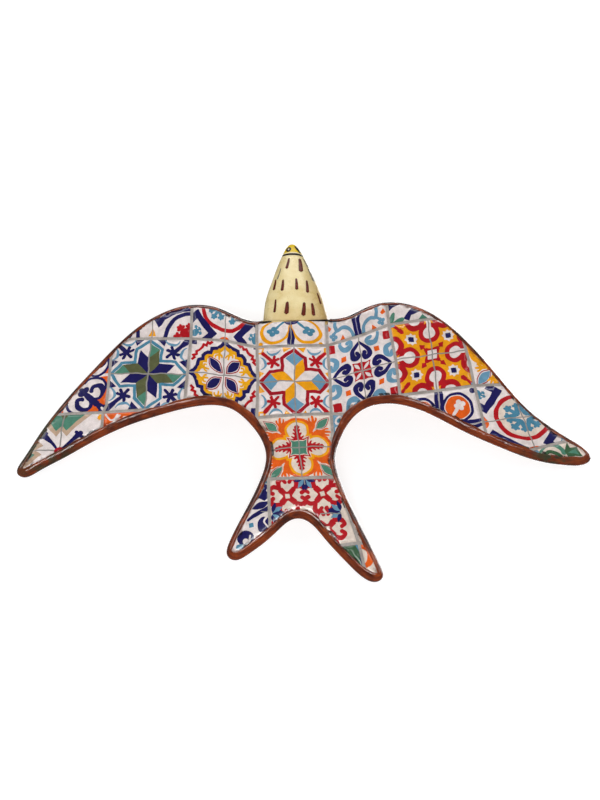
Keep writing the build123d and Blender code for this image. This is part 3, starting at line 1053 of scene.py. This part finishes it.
def navy_scroll_tail():
    """Navy scrolls and leaves with teal squares."""
    return [
        ("white", None),
        ("teal", bar(0.92, 0.9, 0.16, 0.14)),
        (
            "navy",
            [
                (0.66, 0.4), (0.7, 0.66), (0.86, 0.84), (1.02, 0.78), (0.92, 0.62), (1.02, 0.46),
                (0.84, 0.32),
            ],
        ),
        ("navy", leaf(0.48, 0.06, 1.0, 0.3, 0.2)),
        ("navy", stroke([(0.34, -0.26), (0.62, -0.08), (1.02, 0.14)], 0.08, 0.14)),
        ("navy", disc(0.8, -0.38, 0.19, 0.24, -0.4)),
        ("white", stroke([(0.88, -0.16), (0.8, -0.3), (0.92, -0.46)], 0.05)),
        ("teal", bar(0.43, -0.41, 0.13, 0.13, 0.1)),
        ("navy", disc(0.27, -0.8, 0.25)),
        ("white", disc(0.26, -0.88, 0.09)),
        ("white", stroke([(0.4, -0.7), (0.36, -0.86), (0.28, -0.92)], 0.05)),
        ("teal", stroke([(0.0, -1.04), (0.12, -1.0), (0.3, -1.06)], 0.13)),
        ("navy", stroke([(1.0, -0.72), (0.8, -0.86), (0.52, -1.16)], 0.12, 0.14)),
        ("line", bar(0.9, 0.0, 0.3, 0.02)),
    ]


def red_bar():
    """One red stroke on cream."""
    return [("cream", None), ("red", stroke([(0.55, -0.62), (0.68, -0.42), (0.8, -0.22)], 0.14, 0.14))]


def ring_tail():
    """Part of an orange ring."""
    return [
        ("cream", None),
        ("orange", disc(0.55, -1.34, 0.3, 0.36)),
        ("cream", disc(0.5, -1.36, 0.17, 0.22)),
        ("red", disc(0.72, -1.95, 0.14, 0.16)),
    ]


def blue_scrap():
    """Scrap of teal and navy on green."""
    return [
        ("moss", None),
        ("teal", [(0.3, -0.95), (0.62, -0.98), (0.62, -1.22), (0.46, -1.3)]),
        ("navy", [(0.44, -1.36), (0.62, -1.2), (0.7, -1.7), (0.5, -1.7)]),
    ]


def waist_scrap():
    """Scrap of blue with white rings."""
    return [
        ("blue", None),
        ("white", disc(-0.84, -1.2, 0.12)),
        ("teal", disc(-0.84, -1.2, 0.06)),
        ("white", [(-0.98, -1.36), (-0.8, -1.3), (-0.8, -1.4), (-0.98, -1.44)]),
    ]


HEART_TILE = ((47.5, -21.8), (24.9, 9.7), (-2.6, 27.3))
TAIL_TILE = ((30.5, -128.2), (24.7, 0.9), (-1.8, 23.5))
# Each facing's pattern, with the middle of its tile and half the tile across and up, millimetres.
FACINGS = {
    "scroll_left": (scroll_left, ((-173.2, -19.3), (30.9, 0.1), (0.3, 30.3))),
    "chevron_left_tip": (chevron_tip, ((-176.6, -77.0), (32.4, -1.0), (2.4, 28.5))),
    "navy_star": (navy_star, ((-112.2, -20.6), (29.4, -2.3), (1.1, 28.9))),
    "orange_streak": (orange_streak, ((-111.5, -78.2), (30.3, 0.0), (1.3, 27.1))),
    "red_coral": (red_coral, ((-110.5, 39.9), (29.4, -2.3), (-0.1, 31.2))),
    "ring_left_shoulder": (ring_shoulder, ((-54.1, 34.6), (25.2, -5.5), (1.3, 31.3))),
    "yellow_leaf": (yellow_leaf, ((-55.4, -25.5), (25.8, -4.8), (0.5, 28.5))),
    "loops_throat": (loops_throat, ((-5.9, 16.7), (25.5, 0.1), (-0.4, 21.4))),
    "amber_star": (amber_star, ((-2.7, -33.3), (26.1, 0.1), (-0.7, 26.8))),
    "quatrefoil": (quatrefoil, ((0.4, -83.6), (25.3, 1.6), (-2.7, 23.0))),
    "blue_scroll_shoulder": (blue_scroll_shoulder, ((41.5, 35.5), (23.2, 10.5), (-3.2, 28.5))),
    "heart_scroll": (heart_scroll, HEART_TILE),
    "navy_bars": (navy_bars, ((94.8, 54.3), (29.2, 6.8), (-2.8, 30.0))),
    "amber_keyhole": (amber_keyhole, ((100.2, -5.4), (28.2, 5.9), (-2.6, 29.5))),
    "orange_arches": (orange_arches, ((106.3, -64.1), (28.3, 5.4), (-3.4, 28.5))),
    "yellow_sprig": (yellow_sprig, ((157.7, 5.6), (28.5, 6.1), (-1.7, 30.0))),
    "red_ring": (ring_tile, ((166.2, -52.0), (29.4, 6.3), (-7.7, 25.3))),
    "green_leaf_tip": (green_leaf_tip, ((188.5, -93.0), (27.6, 8.7), (-7.4, 23.1))),
    "red_scroll": (red_scroll, ((5.8, -129.1), (24.7, 0.9), (-1.8, 23.5))),
    "navy_scroll_tail": (navy_scroll_tail, ((-45.6, -127.8), (25.3, -0.1), (-1.6, 23.4))),
    "red_bar_tail": (red_bar, TAIL_TILE),
    "orange_ring_tail": (ring_tail, TAIL_TILE),
    "blue_scrap_tail": (blue_scrap, TAIL_TILE),
    "waist_scrap": (waist_scrap, HEART_TILE),
}
for name, (pattern, tile) in FACINGS.items():
    facing_object("facing_" + name, tile, pattern())

# ---------------------------------------------------------------- joints between the facings

base = softened(outline, 1.0)
along = np.roll(base, -1, 0) - np.roll(base, 1, 0)
along /= np.hypot(*along.T)[:, None]
inward = np.stack([along[:, 1], -along[:, 0]], 1)
bed_loop = base + inward * 4.4
bed_loop = bed_loop[distance(bed_loop, base) > 4.2]
flat, faces, _ = triangles(bed_loop, [], 3.0)
joints = new_object("joint_mortar_bed", on_front(flat, 0.62), outward(faces), ["joint_mortar"])
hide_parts("grout_joints")

# ---------------------------------------------------------------- slab with its rounded, glazed rim

count = len(base)
second = np.roll(along, -3, 0) - np.roll(along, 3, 0)
turning = (along[:, 0] * second[:, 1] - along[:, 1] * second[:, 0]) / (6 * OUTLINE_STEP)
radius = 1.0 / np.maximum(-turning, 1e-3)
pinch = np.clip(softened(radius, 2.0) * 0.75 / 4.8, 0.35, 1.0)
neck = (np.abs(base[:, 0] - NECK_X) < 24.5) & (base[:, 1] > 12)
pinch = softened(np.where(neck, 0.12, pinch), 1.5)
steps = np.arange(count) * OUTLINE_STEP
ragged = 0.5 * np.sin(steps / 7.3) + 0.35 * np.sin(steps / 3.1 + 1) + 0.4 * np.sin(steps / 17 + 2)
lumps = 0.18 * np.sin(steps / 5.3) + 0.22 * np.sin(steps / 11.7 + 1.2)
PROFILE = [
    (5.0, 0.35),
    (4.6, 0.8),
    (4.3, 1.08),
    (3.9, 1.22),
    (3.2, 1.15),
    (2.4, 0.75),
    (1.6, 0.05),
    (0.9, -1.1),
    (0.4, -2.3),
    (0.1, -3.4),
    (0.0, -4.6),
    (0.12, -5.8),
    (0.5, -7.0),
    (1.1, -7.9),
    (2.0, -8.6),
    (3.0, -8.95),
]
points, black_edging_and_shade, uv = [], [], []
for inset_mm, lift in PROFILE:
    reach = inset_mm * pinch
    if inset_mm > 3.5:
        reach = reach + ragged * 0.8 * pinch
    ring = base + inward * reach[:, None]
    swell = lumps * (1.0 if 0.3 < inset_mm < 4.5 else 0.0)
    share = np.clip((lift + 6.0) / 5.0, 0, 1)
    bottom = front_depth(ring[:, 0], ring[:, 1])
    surface = bottom + (rolled(ring) - bottom) * share
    depth = surface + np.where(neck, np.minimum(lift, 0.2), lift) + swell * 0.5
    depth = np.maximum(depth, 0.0)
    points.append(np.stack([ring[:, 0], -depth, ring[:, 1]], 1))
    # the rolled edge gets black edging, plus painted shade that darkens the edges facing up more than those
    # facing down
    side = np.clip((-inward[:, 1]) * 1.5, 0, 1)
    black_edging_and_shade.append(np.where(inset_mm < 3.4, 0.25 + 0.75 * side, 0.35))
    uv.append(np.stack([steps / 14.0, np.full(count, lift / 1.6), np.zeros(count)], 1))
points, black_edging_and_shade, uv = np.vstack(points), np.concatenate(black_edging_and_shade), np.vstack(uv)
faces = []
for k in range(len(PROFILE) - 1):
    for i in range(count):
        j = (i + 1) % count
        faces.append((k * count + i, k * count + j, (k + 1) * count + j, (k + 1) * count + i))
indices = [0] * len(faces)
first_ring, last_ring = points[:count, [0, 2]], points[-count:, [0, 2]]
for ring, lift, front in ((first_ring, 0.35, True), (last_ring, -SLAB, False)):
    flat, cap, _ = triangles(ring, [], 4.0)
    start = len(points)
    if front:
        placed = on_front(flat, lift)
    else:
        depth = np.maximum(
            front_depth(flat[:, 0], flat[:, 1]) - SLAB + 0.35 * wavy(flat[:, 0], flat[:, 1], 9.0, 0.4),
            0.0,
        )
        placed = np.stack([flat[:, 0], -depth, flat[:, 1]], 1)
    points = np.vstack([points, placed])
    black_edging_and_shade = np.concatenate([black_edging_and_shade, np.full(len(flat), 0.2)])
    uv = np.vstack([uv, np.stack([flat[:, 0] / 14, flat[:, 1] / 14, np.zeros(len(flat))], 1)])
    faces += [tuple(int(i) + start for i in (f[::-1] if front else f)) for f in cap]
    indices += [0 if front else 1] * len(cap)
middles = np.array([points[list(f)].mean(0) for f in faces])
at_neck = (np.abs(middles[:, 0] - NECK_X) < 24.6) & (middles[:, 2] > 8) & (middles[:, 1] < -30)
indices = np.where(at_neck, 2, indices).tolist()
slab = new_object("glazed_slab", points, faces, ["brown_glaze", "bare_terracotta", "cream_glaze"], indices)
slab.data.attributes.new("black_edging_and_shade", "FLOAT", "POINT").data.foreach_set("value", black_edging_and_shade.astype(np.float32))
copper = np.exp(-((points[:, 0] + 188) ** 2 + (points[:, 2] + 72) ** 2) / 26**2)
copper += np.exp(-((points[:, 0] - 186) ** 2 + (points[:, 2] + 84) ** 2) / 16**2)
slab.data.attributes.new("copper", "FLOAT", "POINT").data.foreach_set("value", copper.astype(np.float32))
slab.data.attributes.new("along", "FLOAT_VECTOR", "POINT").data.foreach_set(
    "vector",
    uv.astype(np.float32).ravel(),
)
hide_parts("body_slab")

# ---------------------------------------------------------------- head, beak and boss

SECTIONS = np.array(
    [
        (6, -2.4, 24.9, 14.2, 25),
        (25, -2.4, 24.6, 14, 25),
        (38, -2.6, 22.6, 13.2, 24.8),
        (51, -3.4, 19.2, 11.8, 24.4),
        (64, -4, 14.8, 9.6, 24),
        (76, -4.5, 10.2, 7, 23.6),
        (82, -4.7, 7.6, 5.6, 23.4),
        (86, -4.9, 5.9, 4.4, 23.2),
        (89.5, -5, 4.1, 3.2, 23.1),
        (91.0, -5, 2.9, 2.3, 23.1),
        (91.8, -5.1, 0.5, 0.4, 23),
    ]
)
NECK_RISE = math.tan(math.radians(NECK_TILT))


def section(z, column):
    """A smooth measure of the head at a height."""
    reach = min(3.0, HEAD_TOP - z)
    wide = np.linspace(z - reach, z + reach, 7)
    return np.interp(wide, SECTIONS[:, 0], SECTIONS[:, column]).mean(0)


def unevenness(a, z):
    """How far the hand-turned head is off a true oval."""
    return 1.0 + 0.012 * math.sin(3 * a + z / 9) + 0.008 * math.sin(5 * a - z / 5)


def head_shell(
    name,
    low,
    high,
    slot_name,
    rings=40,
    around=96,
    thinner=0.0,
    closed=False,
    follow_seam=False,
):
    """A lofted shell between two heights, its foot on the neck seam if asked."""
    points, faces = [], []
    angles = np.linspace(0, 2 * math.pi, around, endpoint=False)
    for k in range(rings + 1):
        share = k / rings
        for a in angles:
            foot = low
            if follow_seam:
                back = SEAM_OUT - section(22.0, 4) + (section(22.0, 3) - thinner) * math.sin(a)
                foot = SEAM_Z + back * NECK_RISE
            z = foot + (high - foot) * share
            out = section(z, 4)
            r = unevenness(a, z)
            x = section(z, 1) + (section(z, 2) * r - thinner) * math.cos(a)
            y = -out + (section(z, 3) * r - thinner) * math.sin(a)
            points.append((x, y, z))
    for k in range(rings):
        for i in range(around):
            j = (i + 1) % around
            faces.append((k * around + i, k * around + j, (k + 1) * around + j, (k + 1) * around + i))
    if closed:
        faces.append(tuple(rings * around + i for i in range(around)))
    made = new_object(name, points, faces, [slot_name])
    return made


head = head_shell("cream_head", 20.0, BEAK_FOOT, "cream_glaze", follow_seam=True)
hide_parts("head")
inner = head_shell(
    "head_hollow",
    20.0,
    74.0,
    "cream_glaze",
    rings=16,
    around=48,
    thinner=HEAD_WALL,
    closed=True,
    follow_seam=True,
)
inner.data.flip_normals()
beak = head_shell("yellow_beak", BEAK_FOOT, HEAD_TOP, "yellow_glaze", rings=28, around=64, closed=True)
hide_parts("beak")


def on_head(flat):
    """Points across and up, set on the front of the head."""
    out = []
    for x, z in flat:
        r = 1.0
        for _ in range(3):
            q = min(max((x - section(z, 1)) / (section(z, 2) * r), -0.99), 0.99)
            a = -math.acos(q)
            r = unevenness(a, z)
        out.append((x, -section(z, 4) + section(z, 3) * r * math.sin(a), z))
    return np.array(out)


def brushed_mark(name, ring, slot_name, height=0.22):
    """A raised brush mark on the head."""
    ring = filled(np.array(ring, float), 0.5)
    flat, faces, _ = triangles(ring, [], 0.7)
    edge = distance(flat, ring)
    points = on_head(flat)
    points[:, 1] -= 0.18 + height * (1 - np.exp(-edge / 0.5))
    made = new_object(name, points, outward(faces), [slot_name])
    return made


DASHES = [
    ((-7.4, 75.0), (-9.1, 65.5), 1.0, "maroon_slip"),
    ((0.9, 74.9), (1.8, 62.8), 1.6, "maroon_slip"),
    ((-17.4, 56.1), (-18.8, 46.9), 0.9, "maroon_slip"),
    ((-11.8, 54.0), (-12.5, 44.6), 1.1, "maroon_slip"),
    ((-1.8, 54.3), (-1.4, 44.7), 1.1, "maroon_slip"),
    ((6.2, 53.4), (6.8, 42.7), 1.1, "maroon_slip"),
    ((14.2, 43.7), (16.7, 34.6), 0.7, "maroon_slip"),
    ((-17.3, 36.6), (-18.1, 25.7), 0.9, "maroon_slip"),
    ((-8.5, 32.8), (-9.1, 23.5), 1.6, "maroon_slip"),
    ((4.3, 32.3), (3.6, 21.9), 1.5, "maroon_slip"),
    ((10.2, 32.4), (11.3, 22.9), 1.3, "maroon_slip"),
    ((-13.6, 66.0), (-16.2, 56.2), 0.5, "grey_slip"),
    ((3.4, 76.8), (7.2, 68.9), 0.6, "grey_slip"),
    ((7.6, 66.8), (11.6, 56.3), 1.0, "grey_slip"),
]
for number, (top, foot, width, slip) in enumerate(DASHES):
    (x0, z0), (x1, z1) = top, foot
    path = [(x0, z0), ((x0 + x1) / 2 + 0.15, (z0 + z1) / 2), (x1, z1)]
    brushed_mark(f"feather_dash_{number}", stroke(path, width * 1.3, width * 2.2, width * 1.9), slip)

brushed_mark(
    "beak_line",
    stroke([(-12.2, 79.9), (-9, 79.7), (-5, 79.6), (-1, 79.7), (3.0, 79.5)], 1.7, 1.7, 2.2),
    "black_slip",
)
brushed_mark("eye_left_ring", disc(-7.7, 85.0, 2.0, 2.6, -0.25, 24), "black_slip")
brushed_mark("eye_left_dot", disc(-7.7, 85.0, 1.0, 1.5, -0.25, 16), "pale_slip", 0.5)
brushed_mark("eye_right", stroke([(-2.6, 88.4), (-0.9, 85.8), (1.2, 82.4)], 1.5, 1.5, 2.2), "black_slip")

NECK_LINES = [
    [(7.3, 17.0), (16.3, 17.5), (24.0, 18.2), (31.1, 18.8)],
    [(-32.3, 16.0), (-26.6, 16.2), (-20.3, 16.4)],
]
for number, path in enumerate(NECK_LINES):
    ring = filled(stroke(path, 0.5, 0.8, 1.9), 0.6)
    flat, faces, _ = triangles(ring, [], 1.0)
    placed = on_front(flat, 1.15 + 0.2 * (1 - np.exp(-distance(flat, ring) / 0.5)))
    line = new_object(f"neck_line_{number}", placed, outward(faces), ["black_slip"])

# The hanging boss: from inside the nail hole, over its mouth, to its foot on the slab.
points, faces = [], []
around = 72
BOSS_RINGS = [
    (2.9, 10.0), (2.95, 5.0), (3.0, 1.0), (3.5, 0.15), (5.0, 0.0), (9.0, 0.0), (10.4, 0.4),
    (11.0, 1.6), (11.8, 6.0), (12.9, 14.0), (14.1, 22.0), (15.0, 27.5), (16.5, 30.5),
]
for radius_mm, out in BOSS_RINGS:
    for a in np.linspace(0, 2 * math.pi, around, endpoint=False):
        r = radius_mm * (1 + (0.012 * math.sin(3 * a + out / 4) if radius_mm > 4 else 0))
        points.append((r * math.cos(a), -out, r * math.sin(a)))
for k in range(len(BOSS_RINGS) - 1):
    for i in range(around):
        j = (i + 1) % around
        faces.append((k * around + i, (k + 1) * around + i, (k + 1) * around + j, k * around + j))
faces.append(tuple(range(around)))
boss = new_object("hanging_boss_clay", points, faces, ["bare_terracotta"])
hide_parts("hanging_boss")

# ---------------------------------------------------------------- stage


def plaster(name, code):
    """Smooth pale studio surface with a faint unevenness."""
    made, tree, shader, place = material(name)
    colour = layered(tree, place, linear(code), [(300, 3, MID, 0.03, "D8D8D8")])
    tree.links.new(colour, shader.inputs["Base Color"])
    shader.inputs["Roughness"].default_value = 0.9
    return made, tree, shader


def plane(name, corners, finish):
    """One flat stage surface."""
    mesh = bpy.data.meshes.new(name)
    mesh.from_pydata(corners, [], [(0, 1, 2, 3)])
    mesh.materials.append(finish)
    made = bpy.data.objects.new(name, mesh)
    bpy.context.scene.collection.objects.link(made)
    return made


FLOOR_Z = -0.9
WALL_Y = 0.0006
wall_finish, wall_tree, wall_shader = plaster("white studio wall", "969696")
facing_side = node(wall_tree, "ShaderNodeNewGeometry", output="Backfacing")
clear = node(wall_tree, "ShaderNodeBsdfTransparent")
parts = {0: facing_side, 1: wall_shader.outputs[0], 2: clear}
choice = node(wall_tree, "ShaderNodeMixShader", parts)
wall_shader.inputs["Emission Color"].default_value = (1.0, 1.0, 1.0, 1.0)
wall_shader.inputs["Emission Strength"].default_value = 0.76
wall_tree.links.new(choice, wall_tree.nodes["Material Output"].inputs["Surface"])
wall = plane(
    "studio_wall",
    [(-4, WALL_Y, FLOOR_Z), (4, WALL_Y, FLOOR_Z), (4, WALL_Y, 3), (-4, WALL_Y, 3)],
    wall_finish,
)
wall.visible_shadow = False
wall.visible_diffuse = False
wall.visible_glossy = False
floor_finish, _, _ = plaster("pale studio floor", "F2F2F2")
floor = plane(
    "studio_floor",
    [(-6, -6, FLOOR_Z), (6, -6, FLOOR_Z), (6, 6, FLOOR_Z), (-6, 6, FLOOR_Z)],
    floor_finish,
)
floor.visible_glossy = False


def softbox(name, at, aim, width, height, power):
    """A rectangular studio light, sized in metres, aimed at a point."""
    light = bpy.data.lights.new(name, "AREA")
    light.shape = "RECTANGLE"
    light.size, light.size_y, light.energy = width, height, power
    made = bpy.data.objects.new(name, light)
    made.location = at
    made.rotation_euler = (Vector(aim) - Vector(at)).to_track_quat("-Z", "Y").to_euler()
    bpy.context.scene.collection.objects.link(made)
    return made


lights = [
    softbox("top_light", (0.0, -1.3, 2.4), (0, 0, 0), 2.6, 1.4, 44),
    softbox("left_light", (-2.3, -1.6, 0.7), (0, 0, 0), 1.2, 1.8, 22),
    softbox("right_light", (2.3, -1.6, 0.7), (0, 0, 0), 1.2, 1.8, 20),
    softbox("low_light", (-0.1, -1.1, -0.82), (0, 0, -0.03), 0.45, 0.22, 6.5),
    softbox("back_light", (0.8, 2.0, 1.2), (0, 0, 0), 2.0, 1.6, 40),
]
world = bpy.data.worlds.new("studio_air")
bpy.context.scene.world = world
world.use_nodes = True
world.node_tree.nodes["Background"].inputs["Color"].default_value = (1.0, 1.0, 1.0, 1.0)
world.node_tree.nodes["Background"].inputs["Strength"].default_value = 0.15

# ---------------------------------------------------------------- camera, looking up from below

camera_data = bpy.data.cameras.new("camera")
camera = bpy.data.objects.new("camera", camera_data)
bpy.context.scene.collection.objects.link(camera)
tilt = math.radians(25)
target = Vector((0.0011, -0.033, -0.046))
camera.location = target + Vector((0, -math.cos(tilt), -math.sin(tilt))) * 1.1
camera.rotation_euler = (target - camera.location).to_track_quat("-Z", "Y").to_euler()
camera_data.sensor_fit = "VERTICAL"
camera_data.sensor_height = 36.0
camera_data.lens = 67.5307
bpy.context.scene.camera = camera
bpy.context.scene.view_settings.view_transform = "Standard"
